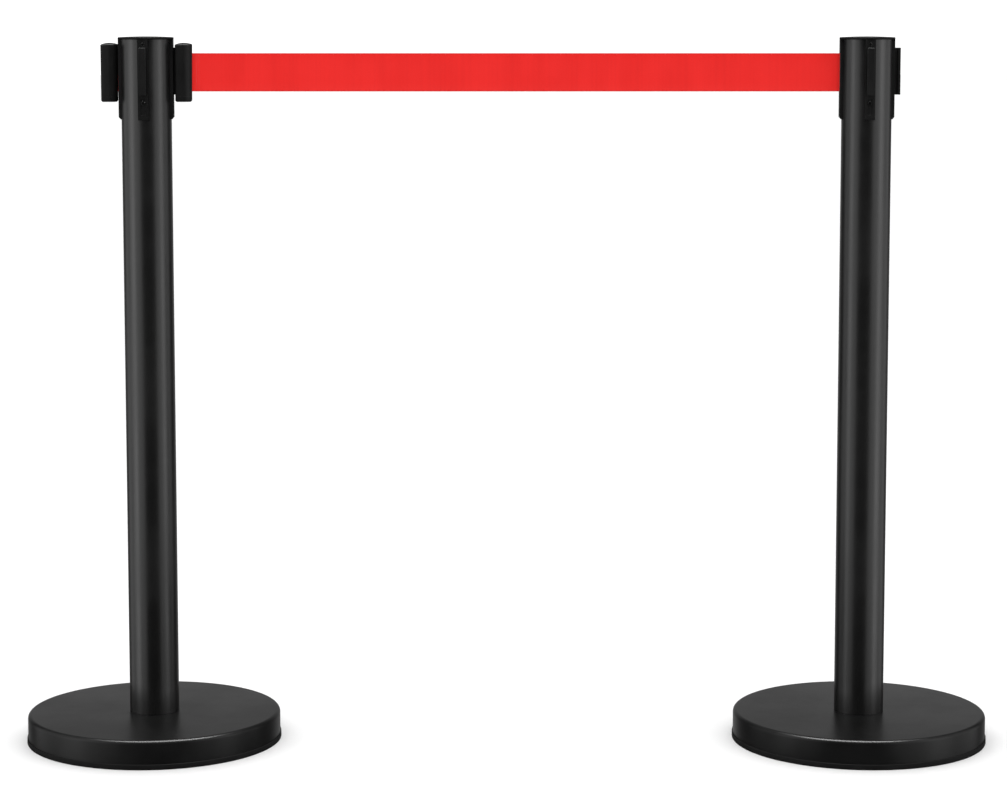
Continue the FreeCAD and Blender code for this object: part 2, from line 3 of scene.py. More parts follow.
import bmesh
import bpy
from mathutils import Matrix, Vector


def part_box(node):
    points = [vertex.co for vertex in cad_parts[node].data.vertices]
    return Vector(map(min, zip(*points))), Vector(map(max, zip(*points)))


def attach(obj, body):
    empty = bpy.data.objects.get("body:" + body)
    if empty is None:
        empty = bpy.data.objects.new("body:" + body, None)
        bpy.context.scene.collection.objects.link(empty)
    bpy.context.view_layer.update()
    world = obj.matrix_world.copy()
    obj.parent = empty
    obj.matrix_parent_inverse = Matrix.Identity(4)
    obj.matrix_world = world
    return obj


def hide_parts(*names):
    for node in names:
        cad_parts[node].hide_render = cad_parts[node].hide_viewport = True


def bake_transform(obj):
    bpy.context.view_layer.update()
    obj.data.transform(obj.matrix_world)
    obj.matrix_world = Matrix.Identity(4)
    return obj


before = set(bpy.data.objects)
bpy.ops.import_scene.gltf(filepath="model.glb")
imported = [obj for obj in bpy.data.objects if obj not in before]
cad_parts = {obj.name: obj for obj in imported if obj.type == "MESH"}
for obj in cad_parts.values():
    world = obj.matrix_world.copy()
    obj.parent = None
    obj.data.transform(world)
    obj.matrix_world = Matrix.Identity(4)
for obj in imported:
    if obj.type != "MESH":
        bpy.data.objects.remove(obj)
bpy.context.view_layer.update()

# Metres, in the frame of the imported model: +Z up, the belt runs along X and the front is -Y.
# Every mesh is built where it stands, with its object at the origin.
MM = 0.001
SIDES = ("right", "left")


def middle_x(node):
    """Middle of a node's box along X."""
    low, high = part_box(node)
    return (low.x + high.x) / 2


POST_X = {side: middle_x(side + "_post_tube") for side in SIDES}
RIGHT_MOUTH_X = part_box("right_belt")[1].x
RIGHT_CLIP_EDGE_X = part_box("right_clip_body")[1].x
LEFT_CLIP_EDGE_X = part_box("left_clip_body")[1].x
BELT_LOW, BELT_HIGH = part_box("right_belt")[0].z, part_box("right_belt")[1].z
BELT_MID_Z = (BELT_LOW + BELT_HIGH) / 2
BELT_W = BELT_HIGH - BELT_LOW


# ---- node trees -----------------------------------------------------------------------------------
class Tree:
    """A node tree, with short calls for the nodes that materials and the world share."""

    def __init__(self, tree):
        self.tree = tree

    def add(self, kind, **settings):
        """A new node with its settings."""
        node = self.tree.nodes.new(kind)
        for key, value in settings.items():
            setattr(node, key, value)
        return node

    def put(self, socket, value):
        """Give an input socket a number, a colour or another node's output."""
        if isinstance(value, bpy.types.NodeSocket):
            self.tree.links.new(value, socket)
        else:
            socket.default_value = value

    def math(self, operation, a, b):
        """One arithmetic step on numbers or outputs."""
        node = self.add("ShaderNodeMath", operation=operation)
        self.put(node.inputs[0], a)
        self.put(node.inputs[1], b)
        return node.outputs[0]

    def ramp(self, value, low, high, to_low=0.0, to_high=1.0):
        """A smooth step from to_low to to_high as the value goes from low to high."""
        node = self.add("ShaderNodeMapRange", interpolation_type="SMOOTHSTEP")
        self.put(node.inputs["Value"], value)
        self.put(node.inputs["From Min"], low)
        self.put(node.inputs["From Max"], high)
        self.put(node.inputs["To Min"], to_low)
        self.put(node.inputs["To Max"], to_high)
        return node.outputs["Result"]


class Nodes(Tree):
    """A new material, with short calls for the nodes that the finishes here use."""

    def __init__(self, name):
        self.material = bpy.data.materials.new(name)
        self.material.use_nodes = True
        super().__init__(self.material.node_tree)
        self.shader = next(n for n in self.tree.nodes if n.type == "BSDF_PRINCIPLED")
        self.place = self.add("ShaderNodeTexCoord").outputs["Object"]

    def stretched(self, scale):
        """Object coordinates, scaled by one number per axis."""
        node = self.add("ShaderNodeVectorMath", operation="MULTIPLY")
        self.put(node.inputs[0], self.place)
        node.inputs[1].default_value = scale
        return node.outputs[0]

    def noise(self, scale, detail=3.0, rough=0.5, place=None):
        """Noise of the given scale per metre, or per unit of a stretched place."""
        node = self.add("ShaderNodeTexNoise")
        self.put(node.inputs["Vector"], place or self.place)
        node.inputs["Scale"].default_value = scale
        node.inputs["Detail"].default_value = detail
        node.inputs["Roughness"].default_value = rough
        return node.outputs["Fac"]

    def cells(self, scale):
        """Rounded pits, as spark erosion leaves them."""
        node = self.add("ShaderNodeTexVoronoi", feature="SMOOTH_F1")
        self.put(node.inputs["Vector"], self.place)
        node.inputs["Scale"].default_value = scale
        return node.outputs["Distance"]

    def axis(self, name):
        """One object coordinate."""
        node = self.add("ShaderNodeSeparateXYZ")
        self.put(node.inputs[0], self.place)
        return node.outputs[name]

    def attribute(self, name):
        """A number that the mesh holds at each vertex."""
        return self.add("ShaderNodeAttribute", attribute_name=name).outputs["Fac"]

    def mix(self, share, a, b):
        """Colour a, with a share of colour b."""
        node = self.add("ShaderNodeMix", data_type="RGBA")
        self.put(node.inputs["Factor"], share)
        self.put(node.inputs[6], a)
        self.put(node.inputs[7], b)
        return node.outputs[2]

    def bump(self, height, distance, strength, below=None):
        """A bumped normal, on top of another one if that is given."""
        node = self.add("ShaderNodeBump")
        self.put(node.inputs["Height"], height)
        node.inputs["Distance"].default_value = distance
        node.inputs["Strength"].default_value = strength
        if below is not None:
            self.put(node.inputs["Normal"], below)
        return node.outputs["Normal"]

    def finish(self, colour, roughness, normal, **sockets):
        """Join the shader's inputs.  A further socket is named with _ for each space."""
        self.put(self.shader.inputs["Base Color"], colour)
        self.put(self.shader.inputs["Roughness"], roughness)
        self.put(self.shader.inputs["Normal"], normal)
        for key, value in sockets.items():
            self.put(self.shader.inputs[key.replace("_", " ")], value)
        return self.material


# ---- materials ------------------------------------------------------------------------------------
def grey(value):
    """A neutral colour."""
    return (value, value, value, 1.0)


RUST = (0.11, 0.045, 0.02, 1.0)
ZINC = (0.60, 0.61, 0.63, 1.0)
ZINC_SHADE = (0.46, 0.47, 0.50, 1.0)
BLUED = (0.20, 0.22, 0.27, 1.0)
BLUED_SHADE = (0.32, 0.30, 0.28, 1.0)
# The first weave colour is painted shade for the hollows between the threads.
WEB_HOLLOW_SHADE = (0.62, 0.010, 0.0085, 1.0)
WEB_BRIGHT = (0.80, 0.015, 0.012, 1.0)
WEB_BAR = (0.64, 0.010, 0.009, 1.0)
WEB_PATCH = (0.84, 0.022, 0.019, 1.0)
WEB_FIBRE = (0.88, 0.032, 0.028, 1.0)
WEB_EDGE = (0.42, 0.009, 0.010, 1.0)
# The first thread colour is painted shade for the grooves of the twist.
THREAD_GROOVE_SHADE = (0.45, 0.012, 0.014, 1.0)
THREAD_BRIGHT = (0.75, 0.03, 0.03, 1.0)
WEFT_PITCH = 1.1 * MM
WARP_PITCH = 1.4 * MM


def powder_coat(name, rough, gloss):
    """Black powder coat: fine orange peel, faint handling smudges."""
    n = Nodes(name)
    smudge = n.noise(9.0, 4.0, 0.6)
    speck = n.noise(2400.0, 2.0)
    colour = n.mix(n.ramp(smudge, 0.35, 0.7), grey(0.0028), grey(0.0048))
    colour = n.mix(n.ramp(speck, 0.62, 0.78, 0.0, 0.5), colour, grey(0.012))
    handled = n.ramp(smudge, 0.3, 0.75, rough - 0.035, rough + 0.035)
    roughness = n.math("ADD", handled, n.ramp(speck, 0.3, 0.7, -0.02, 0.02))
    peel = n.bump(n.noise(620.0, 2.0, 0.4), 0.05 * MM, 0.55)
    normal = n.bump(speck, 0.01 * MM, 0.4, below=peel)
    return n.finish(colour, roughness, normal, Specular_IOR_Level=gloss)


def moulded(name, low, high, rough, grain, gloss):
    """Plastic between two greys, with a fine spark-eroded grain and faint flow marks."""
    n = Nodes(name)
    flow = n.noise(1.0, 3.0, 0.6, n.stretched((60.0, 60.0, 14.0)))
    cell = n.cells(grain)
    colour = n.mix(n.ramp(flow, 0.3, 0.7), grey(low), grey(high))
    colour = n.mix(n.ramp(cell, 0.1, 0.6, 0.25, 0.0), colour, grey(high * 1.6))
    flow_marks = n.ramp(flow, 0.3, 0.7, rough - 0.04, rough + 0.05)
    roughness = n.math("ADD", flow_marks, n.ramp(cell, 0.0, 0.6, 0.03, -0.03))
    normal = n.bump(cell, 0.06 * MM, 0.5)
    return n.finish(colour, roughness, normal, Specular_IOR_Level=gloss)


def rubber():
    """Matt black rubber: fine grit, and dust that makes it paler in places."""
    n = Nodes("black_rubber")
    dust = n.noise(45.0, 5.0, 0.65)
    grit = n.noise(1900.0, 2.0)
    colour = n.mix(n.ramp(dust, 0.4, 0.75), grey(0.0025), grey(0.005))
    roughness = n.ramp(dust, 0.3, 0.7, 0.62, 0.8)
    return n.finish(colour, roughness, n.bump(grit, 0.08 * MM, 0.6), Specular_IOR_Level=0.12)


def casting():
    """Grey iron as cast: coarse sand skin and rust bloom."""
    n = Nodes("grey_iron_casting")
    rust = n.noise(30.0, 6.0, 0.7)
    sand = n.noise(700.0, 4.0, 0.6)
    colour = n.mix(n.ramp(rust, 0.5, 0.72), grey(0.07), RUST)
    roughness = n.ramp(sand, 0.3, 0.7, 0.6, 0.85)
    return n.finish(colour, roughness, n.bump(sand, 0.4 * MM, 0.6), Metallic=0.6)


def steel(name, colour_a, colour_b, rough, stretch):
    """Bare or plated steel, with fine lines along the axis that the stretch is least on."""
    n = Nodes(name)
    lines = n.noise(1.0, 3.0, 0.6, n.stretched(stretch))
    cloud = n.noise(90.0, 3.0)
    colour = n.mix(n.ramp(cloud, 0.3, 0.7), colour_a, colour_b)
    roughness = n.math("ADD", n.ramp(lines, 0.3, 0.7, -0.08, 0.08), rough)
    return n.finish(colour, roughness, n.bump(lines, 0.02 * MM, 0.5), Metallic=1.0)


def webbing():
    """Red polyester webbing: plain weave about a millimetre apart, its hollows painted darker as painted
    shade, bound edges, faint bars across it.
    """
    n = Nodes("red_polyester_webbing")
    along = n.axis("X")
    height = n.axis("Z")
    across = n.attribute("across")
    weft = n.math("SINE", n.math("MULTIPLY", along, 2 * math.pi / WEFT_PITCH), 0.0)
    warp = n.math("SINE", n.math("MULTIPLY", height, 2 * math.pi / WARP_PITCH), 0.0)
    cross = n.math("MULTIPLY", weft, warp)
    ribs = n.math("ADD", n.math("MULTIPLY", weft, 0.6), cross)
    fibre = n.noise(1.0, 3.0, 0.6, n.stretched((2600.0, 2600.0, 500.0)))
    bars = n.noise(1.0, 2.0, 0.6, n.stretched((210.0, 0.0, 0.0)))
    broad = n.noise(1.0, 1.0, 0.5, n.stretched((28.0, 0.0, 9.0)))
    edge = n.ramp(across, 0.93, 0.975)
    # The weave's pattern, with painted shade: raised threads lighter and the hollows between them
    # darker, following the bump's height.
    body = n.mix(n.ramp(ribs, -1.2, 1.4), WEB_HOLLOW_SHADE, WEB_BRIGHT)
    body = n.mix(n.ramp(bars, 0.35, 0.7, 0.0, 0.42), body, WEB_BAR)
    body = n.mix(n.ramp(broad, 0.35, 0.65, 0.0, 0.22), body, WEB_PATCH)
    body = n.mix(n.ramp(fibre, 0.55, 0.8, 0.0, 0.3), body, WEB_FIBRE)
    colour = n.mix(n.math("MULTIPLY", edge, 0.45), body, WEB_EDGE)
    roughness = n.ramp(ribs, -1.5, 1.5, 0.86, 0.66)
    weave = n.bump(ribs, 0.09 * MM, 0.7)
    normal = n.bump(fibre, 0.03 * MM, 0.5, below=weave)
    soft = {"Specular_IOR_Level": 0.1, "Sheen_Weight": 0.03, "Sheen_Roughness": 0.5}
    return n.finish(colour, roughness, normal, **soft)


def thread():
    """Red sewing thread, with its twist, and painted shade in the grooves of the twist."""
    n = Nodes("red_sewing_thread")
    twist = n.noise(1.0, 2.0, 0.5, n.stretched((2500.0, 2500.0, 6000.0)))
    # Painted shade: the twist's raised plies lighter and its grooves darker, following the bump's
    # height.
    colour = n.mix(n.ramp(twist, 0.3, 0.7), THREAD_GROOVE_SHADE, THREAD_BRIGHT)
    roughness = n.ramp(twist, 0.3, 0.7, 0.55, 0.75)
    return n.finish(colour, roughness, n.bump(twist, 0.05 * MM, 0.6))


FINISH = {
    "black_coat": powder_coat("satin_black_powder_coat", 0.325, 0.5),
    "black_moulding": moulded("grained_black_moulding", 0.002, 0.0042, 0.55, 2600.0, 0.13),
    "cap_plastic": moulded("smooth_black_cap", 0.002, 0.0035, 0.55, 3400.0, 0.07),
    "clip_plastic": moulded("satin_black_clip", 0.002, 0.0042, 0.5, 3000.0, 0.13),
    "reel_plastic": moulded("grey_nylon", 0.07, 0.12, 0.5, 1800.0, 0.5),
    "red_webbing": webbing(),
    "floor_rubber": rubber(),
    "cast_weight": casting(),
    "plated_steel": steel("zinc_plated_steel", ZINC, ZINC_SHADE, 0.32, (900, 900, 60)),
    "black_screw": steel("black_oxide_steel", grey(0.020), grey(0.035), 0.36, (1500, 1500, 1500)),
    "spring_steel": steel("blued_spring_steel", BLUED, BLUED_SHADE, 0.34, (40, 40, 2500)),
}
DULL_COAT = powder_coat("dull_black_powder_coat", 0.34, 0.19)
THREAD = thread()


# ---- mesh helpers ---------------------------------------------------------------------------------
SAME_POINT = 1e-7
SHARP_DEG = 35.0
OVERCUT = 1.0 * MM            # how far a cut passes the face that it opens


def rounded(corners, steps):
    """Points of a closed outline from corners (a, b, radius), each corner rounded by its radius."""
    points = []
    count = len(corners)
    for k, (a, b, radius) in enumerate(corners):
        here = Vector((a, b))
        if radius == 0:
            points.append(here)
            continue
        before = (Vector(corners[k - 1][:2]) - here).normalized()
        after = (Vector(corners[(k + 1) % count][:2]) - here).normalized()
        half = before.angle(after) / 2
        centre = here + (before + after).normalized() * (radius / math.sin(half))
        first = here + before * (radius / math.tan(half)) - centre
        last = here + after * (radius / math.tan(half)) - centre
        sweep = first.angle(last)
        for step in range(steps + 1):
            share = step / steps
            part = first * math.sin((1 - share) * sweep) + last * math.sin(share * sweep)
            points.append(centre + part / math.sin(sweep))
    return points


def new_object(name, data):
    """A new object in the scene."""
    thing = bpy.data.objects.new(name, data)
    bpy.context.scene.collection.objects.link(thing)
    return thing


def to_object(shape, name, slot, sharp_deg=SHARP_DEG, finish=None):
    """Turn a bmesh into an object with smooth faces, sharp edges and its finish."""
    bmesh.ops.remove_doubles(shape, verts=shape.verts, dist=SAME_POINT)
    bmesh.ops.recalc_face_normals(shape, faces=shape.faces)
    mesh = bpy.data.meshes.new(name)
    shape.to_mesh(mesh)
    shape.free()
    mesh.shade_smooth()
    mesh.set_sharp_from_angle(angle=math.radians(sharp_deg))
    piece = new_object(name, mesh)
    mesh.materials.append(finish or FINISH[slot])
    return piece


def lathe(outline, centre_x, segments):
    """Turn a closed outline of (radius, height) points about a vertical axis."""
    shape = bmesh.new()
    rings = []
    for radius, z in outline:
        if radius < SAME_POINT:
            rings.append([shape.verts.new((centre_x, 0, z))] * segments)
            continue
        ring = []
        for k in range(segments):
            angle = 2 * math.pi * k / segments
            x, y = centre_x + radius * math.cos(angle), radius * math.sin(angle)
            ring.append(shape.verts.new((x, y, z)))
        rings.append(ring)
    for ring, following in zip(rings, rings[1:] + rings[:1]):
        for k in range(segments):
            other = (k + 1) % segments
            corners = [ring[k], ring[other], following[other], following[k]]
            distinct = list(dict.fromkeys(corners))
            if len(distinct) > 2:
                shape.faces.new(distinct)
    return shape


def skin(shape, rings):
    """Join each ring of vertices to the next one, and close the first with a face."""
    count = len(rings[0])
    for ring, following in zip(rings, rings[1:]):
        for k in range(count):
            other = (k + 1) % count
            shape.faces.new((ring[k], ring[other], following[other], following[k]))
    shape.faces.new(rings[0])


def cut_box(piece, x0, x1, half_y, z0, z1):
    """Cut a box that is centred on the XZ plane out of a piece."""
    shape = bmesh.new()
    bmesh.ops.create_cube(shape, size=1.0)
    for v in shape.verts:
        v.co = Vector((
            x1 if v.co.x > 0 else x0,
            half_y if v.co.y > 0 else -half_y,
            z1 if v.co.z > 0 else z0,
        ))
    mesh = bpy.data.meshes.new("cutter")
    shape.to_mesh(mesh)
    shape.free()
    cutter = new_object("cutter", mesh)
    cut = piece.modifiers.new("cut", "BOOLEAN")
    cut.operation = "DIFFERENCE"
    cut.solver = "EXACT"
    cut.object = cutter
    bpy.context.view_layer.update()
    graph = bpy.context.evaluated_depsgraph_get()
    result = bpy.data.meshes.new_from_object(piece.evaluated_get(graph))
    piece.modifiers.clear()
    old = piece.data
    piece.data = result
    result.name = old.name
    bpy.data.meshes.remove(old)
    bpy.data.objects.remove(cutter)
    bpy.data.meshes.remove(mesh)


def soften(piece, width, angle_deg):
    """Round a piece's edges that turn by more than an angle with a small bevel."""
    bevel = piece.modifiers.new("edge", "BEVEL")
    bevel.width = width
    bevel.segments = 2
    bevel.limit_method = "ANGLE"
    bevel.angle_limit = math.radians(angle_deg)
    bevel.harden_normals = True


def place(piece, body, *nodes):
    """Put a piece on its body, in place of the nodes that it stands for."""
    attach(piece, body)
    if nodes:
        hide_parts(*nodes)
    return piece


# ---- base -----------------------------------------------------------------------------------------
MAT_LIP_T = 1.2 * MM
MAT_HOLE_R = 20.0 * MM
COVER_T = 1.0 * MM
COVER_HOLE_R = 7.0 * MM
COVER_RIM_R = 5.0 * MM


def floor_mat(side):
    """The rubber mat, with the lip that shows round the cover."""
    low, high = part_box(side + "_floor_mat")
    outer = (high.x - low.x) / 2
    inner = outer - MAT_LIP_T
    step_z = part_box(side + "_base_cover")[0].z
    outline = rounded(
        [
            (MAT_HOLE_R, 0.0, 0),
            (outer, 0.0, 0.5 * MM),
            (outer, high.z, 0.55 * MM),
            (inner, high.z, 0.45 * MM),
            (inner, step_z, 0),
            (MAT_HOLE_R, step_z, 0),
        ],
        steps=4,
    )
    shape = lathe(outline, POST_X[side], segments=224)
    piece = to_object(shape, side + "_rubber_mat", "floor_rubber")
    place(piece, side + "_stanchion", side + "_floor_mat")


def base_cover(side):
    """The spun steel cover: a flat disc, a rounded rim and a short skirt."""
    low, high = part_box(side + "_base_cover")
    outer = (high.x - low.x) / 2
    outline = rounded(
        [
            (COVER_HOLE_R, high.z, 0),
            (COVER_HOLE_R, high.z - COVER_T, 0),
            (outer - COVER_T, high.z - COVER_T, COVER_RIM_R - COVER_T),
            (outer - COVER_T, low.z, 0.3 * MM),
            (outer, low.z, 0.3 * MM),
            (outer, high.z, COVER_RIM_R),
        ],
        steps=12,
    )
    shape = lathe(outline, POST_X[side], segments=256)
    piece = to_object(shape, side + "_spun_base", "black_coat", finish=DULL_COAT)
    place(piece, side + "_stanchion", side + "_base_cover")


# ---- tube and head --------------------------------------------------------------------------------
TUBE_T = 1.2 * MM
TUBE_EDGE_R = 0.25 * MM
SLOT_HALF_W = 6.7 * MM
SLOT_CLEARANCE = 0.2 * MM
SLOT_STEPS = 8                # facets across a slot
WALL_STEPS = 30               # facets between two slots
PLAIN_ROWS = 12               # rows of facets below the slots
SLOTTED_ROWS = 3              # and beside them
CAP_CROWN = 1.1 * MM
CAP_RIM_W = 1.0 * MM          # from the crown's last ring to the cap's edge
CAP_RINGS = 12
SPIGOT_R = 27.3 * MM
SPIGOT_BORE_R = 25.3 * MM
SPIGOT_ROOF = 0.8 * MM        # how far the bore goes on above the cap's seat


def post_tube(side):
    """The tube, with a slot for each rib of the head and softened cut edges."""
    low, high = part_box(side + "_post_tube")
    radius = (high.x - low.x) / 2
    slot_half = math.asin(SLOT_HALF_W / radius)
    slot_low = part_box(side + "_cassette_body")[0].z - SLOT_CLEARANCE
    angles = []
    for quarter in range(4):
        start = quarter * math.pi / 2 - slot_half
        angles += [start + 2 * slot_half * k / SLOT_STEPS for k in range(SLOT_STEPS)]
        wide = math.pi / 2 - 2 * slot_half
        angles += [start + 2 * slot_half + wide * k / WALL_STEPS for k in range(WALL_STEPS)]
    heights = [low.z + (slot_low - low.z) * k / PLAIN_ROWS for k in range(PLAIN_ROWS + 1)]
    heights += [slot_low + (high.z - slot_low) * k / SLOTTED_ROWS for k in range(1, SLOTTED_ROWS + 1)]
    shape = bmesh.new()
    rows = []
    for z in heights:
        ring = [(POST_X[side] + radius * math.cos(a), radius * math.sin(a), z) for a in angles]
        rows.append([shape.verts.new(point) for point in ring])
    count = len(angles)
    for level, (row, above) in enumerate(zip(rows, rows[1:])):
        for k in range(count):
            if level >= PLAIN_ROWS and k % (SLOT_STEPS + WALL_STEPS) < SLOT_STEPS:
                continue
            other = (k + 1) % count
            shape.faces.new((row[k], row[other], above[other], above[k]))
    loose = [v for v in shape.verts if not v.link_faces]
    bmesh.ops.delete(shape, geom=loose, context="VERTS")
    piece = to_object(shape, side + "_coated_tube", "black_coat")
    wall = piece.modifiers.new("wall", "SOLIDIFY")
    wall.thickness = TUBE_T
    wall.offset = -1.0
    soften(piece, TUBE_EDGE_R, angle_deg=60.0)
    place(piece, side + "_stanchion", side + "_post_tube")


def top_cap(side):
    """The cap: a shallow crown, a rounded rim and the spigot that plugs into the head."""
    low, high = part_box(side + "_top_cap")
    radius = (high.x - low.x) / 2
    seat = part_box(side + "_post_tube")[1].z
    crown_r = (radius ** 2 + CAP_CROWN ** 2) / (2 * CAP_CROWN)
    dome = []
    for k in range(CAP_RINGS + 1):
        r = (radius - CAP_RIM_W) * k / CAP_RINGS
        dome.append((r, high.z - crown_r + math.sqrt(crown_r ** 2 - r ** 2), 0))
    rim = [
        (radius, high.z - CAP_CROWN - 0.1 * MM, 0.8 * MM),
        (radius, seat, 0.45 * MM),
    ]
    spigot = [
        (SPIGOT_R, seat, 0),
        (SPIGOT_R, low.z, 0.4 * MM),
        (SPIGOT_BORE_R, low.z, 0.4 * MM),
        (SPIGOT_BORE_R, seat + SPIGOT_ROOF, 0.5 * MM),
        (0, seat + SPIGOT_ROOF, 0),
    ]
    outline = rounded(dome + rim + spigot, steps=6)
    piece = to_object(lathe(outline, POST_X[side], segments=192), side + "_domed_cap", "cap_plastic")
    place(piece, side + "_stanchion", side + "_top_cap")


# ---- belt clips -----------------------------------------------------------------------------------
# Distances along X are from the axis of a clip's round side, which is on +X.
CLIP_R = 11.2 * MM
CLIP_LOW_R = 10.3 * MM        # at the foot
CLIP_FLAT_X = -10.2 * MM
CLIP_FLAT_HALF = 9.0 * MM
CLIP_CORNER_R = 2.4 * MM
CLIP_LEAST_CORNER_R = 0.8 * MM
CLIP_DOME_R = 36.0 * MM
CLIP_RIM_R = 1.3 * MM
CLIP_SIDE_DROP = 4.2 * MM     # from the dome's top to the straight side's
CLIP_EDGE_R = 0.2 * MM
TBAR_ROOM_TOP = 886.3 * MM    # 0.3 mm above the T-bar
TBAR_ROOM_D = 4.4 * MM
TBAR_ROOM_HALF_W = 4.8 * MM
TBAR_LIP_T = 1.1 * MM         # wall between the room and the flat
STEM_SLOT_HALF_W = 2.3 * MM
STEM_SLOT_REACH = 0.5 * MM    # into the room
MOUTH_X = 2.6 * MM
MOUTH_HALF_W = 0.7 * MM
MOUTH_SPARE = 1.5 * MM        # above and below the belt
PIN_ROOM_X = (-1.8 * MM, 7.0 * MM)
PIN_ROOM_HALF_W = 4.4 * MM
# The foot's bevel, as (inset, height above the foot).
FOOT_BEVEL = (
    (1.8 * MM, 0.0),
    (1.3 * MM, 0.35 * MM),
    (0.5 * MM, 1.15 * MM),
    (0.15 * MM, 1.6 * MM),
    (0.0, 2.1 * MM),
)


def clip_outline(radius, inset):
    """Plan of a clip about the axis of its round side: half a circle and a flat with rounded corners."""
    radius -= inset
    flat_x = CLIP_FLAT_X + inset
    flat_half = CLIP_FLAT_HALF * radius / CLIP_R
    corner_r = max(CLIP_CORNER_R - inset, CLIP_LEAST_CORNER_R)
    steps = 28
    turn = [math.pi * (k / steps - 0.5) for k in range(steps + 1)]
    round_side = [(radius * math.cos(a), radius * math.sin(a), 0) for a in turn]
    flat_side = [(flat_x, flat_half, corner_r), (flat_x, -flat_half, corner_r)]
    return rounded(round_side + flat_side, steps=7)


def clip_radius(z, low, high):
    """Radius of the round side, which tapers down to the foot."""
    return CLIP_LOW_R + (CLIP_R - CLIP_LOW_R) * (z - low) / (high - low)


def stacked(sections, axis_x, peak_z=None):
    """Skin rings of points, closed at the top with a face, or drawn to one point if there is a peak."""
    shape = bmesh.new()
    rings = [[shape.verts.new((axis_x + x, y, z)) for x, y, z in ring] for ring in sections]
    skin(shape, rings)
    top = rings[-1]
    if peak_z is None:
        shape.faces.new(top)
        return shape
    peak = shape.verts.new((axis_x, 0, peak_z))
    for k, vert in enumerate(top):
        shape.faces.new((vert, top[(k + 1) % len(top)], peak))
    return shape


def cut_tbar_room(piece, side, axis_x):
    """The T-shaped room that a receiver slides into, open at the foot and through the flat."""
    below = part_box(side + "_clip_plug")[0].z - OVERCUT
    flat_x = axis_x + CLIP_FLAT_X
    room_x = flat_x + TBAR_LIP_T
    cut_box(piece, room_x, room_x + TBAR_ROOM_D, TBAR_ROOM_HALF_W, below, TBAR_ROOM_TOP)
    stem_x = room_x + STEM_SLOT_REACH
    cut_box(piece, flat_x - OVERCUT, stem_x, STEM_SLOT_HALF_W, below, TBAR_ROOM_TOP)


def resharpen(piece):
    """Smooth faces, sharp edges and a small bevel again, after the cuts."""
    piece.data.shade_smooth()
    piece.data.set_sharp_from_angle(angle=math.radians(SHARP_DEG))
    soften(piece, CLIP_EDGE_R, angle_deg=45.0)


def clip_housing(side):
    """The clip's body: tapered sides, a domed top, and rooms for a T-bar, the belt and its pin."""
    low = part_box(side + "_clip_plug")[0].z
    joint_z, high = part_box(side + "_clip_body")[0].z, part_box(side + "_clip_body")[1].z
    axis_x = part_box(side + "_clip_body")[1].x - CLIP_R

    def dome(x, y):
        return high - CLIP_DOME_R + math.sqrt(CLIP_DOME_R ** 2 - x * x - y * y)

    side_top = high - CLIP_SIDE_DROP
    side_steps = 7
    rim_steps = 6
    sections = []
    for k in range(side_steps + 1):
        z = joint_z + (side_top - joint_z) * k / side_steps
        sections.append([(p.x, p.y, z) for p in clip_outline(clip_radius(z, low, high), 0)])
    for k in range(rim_steps + 1):
        inset = CLIP_RIM_R * (1 - math.cos(math.pi / 2 * k / rim_steps))
        fall = CLIP_RIM_R * (1 - math.sin(math.pi / 2 * k / rim_steps))
        ring = clip_outline(CLIP_R, inset)
        sections.append([(p.x, p.y, dome(p.x, p.y) - fall) for p in ring])
    for share in (0.75, 0.5, 0.25):
        ring = [p * share for p in clip_outline(CLIP_R, CLIP_RIM_R)]
        sections.append([(p.x, p.y, dome(p.x, p.y)) for p in ring])
    piece = to_object(stacked(sections, axis_x, high), side + "_clip_housing", "clip_plastic")

    cut_tbar_room(piece, side, axis_x)
    mouth_low, mouth_high = BELT_LOW - MOUTH_SPARE, BELT_HIGH + MOUTH_SPARE
    past_x = axis_x + CLIP_R + 2 * OVERCUT
    cut_box(piece, axis_x + MOUTH_X, past_x, MOUTH_HALF_W, mouth_low, mouth_high)
    room_low, room_high = (axis_x + x for x in PIN_ROOM_X)
    cut_box(piece, room_low, room_high, PIN_ROOM_HALF_W, joint_z - OVERCUT, mouth_high)
    resharpen(piece)
    place(piece, side + "_clip", side + "_clip_body")


def clip_foot(side):
    """The bevelled band that closes a clip's foot."""
    low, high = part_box(side + "_clip_plug")[0].z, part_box(side + "_clip_body")[0].z
    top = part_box(side + "_clip_body")[1].z
    axis_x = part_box(side + "_clip_body")[1].x - CLIP_R
    sections = []
    for inset, z in [(inset, low + rise) for inset, rise in FOOT_BEVEL] + [(0.0, high)]:
        sections.append([(p.x, p.y, z) for p in clip_outline(clip_radius(z, low, top), inset)])
    piece = to_object(stacked(sections, axis_x), side + "_clip_foot", "clip_plastic")
    cut_tbar_room(piece, side, axis_x)
    resharpen(piece)
    place(piece, side + "_clip", side + "_clip_plug")


# ---- belt -----------------------------------------------------------------------------------------
WEB_HALF_T = 0.28 * MM
TAIL_HALF_T = 0.97 * WEB_HALF_T         # so that the two runs share no face where they overlap
WEB_SHARP_DEG = 50.0
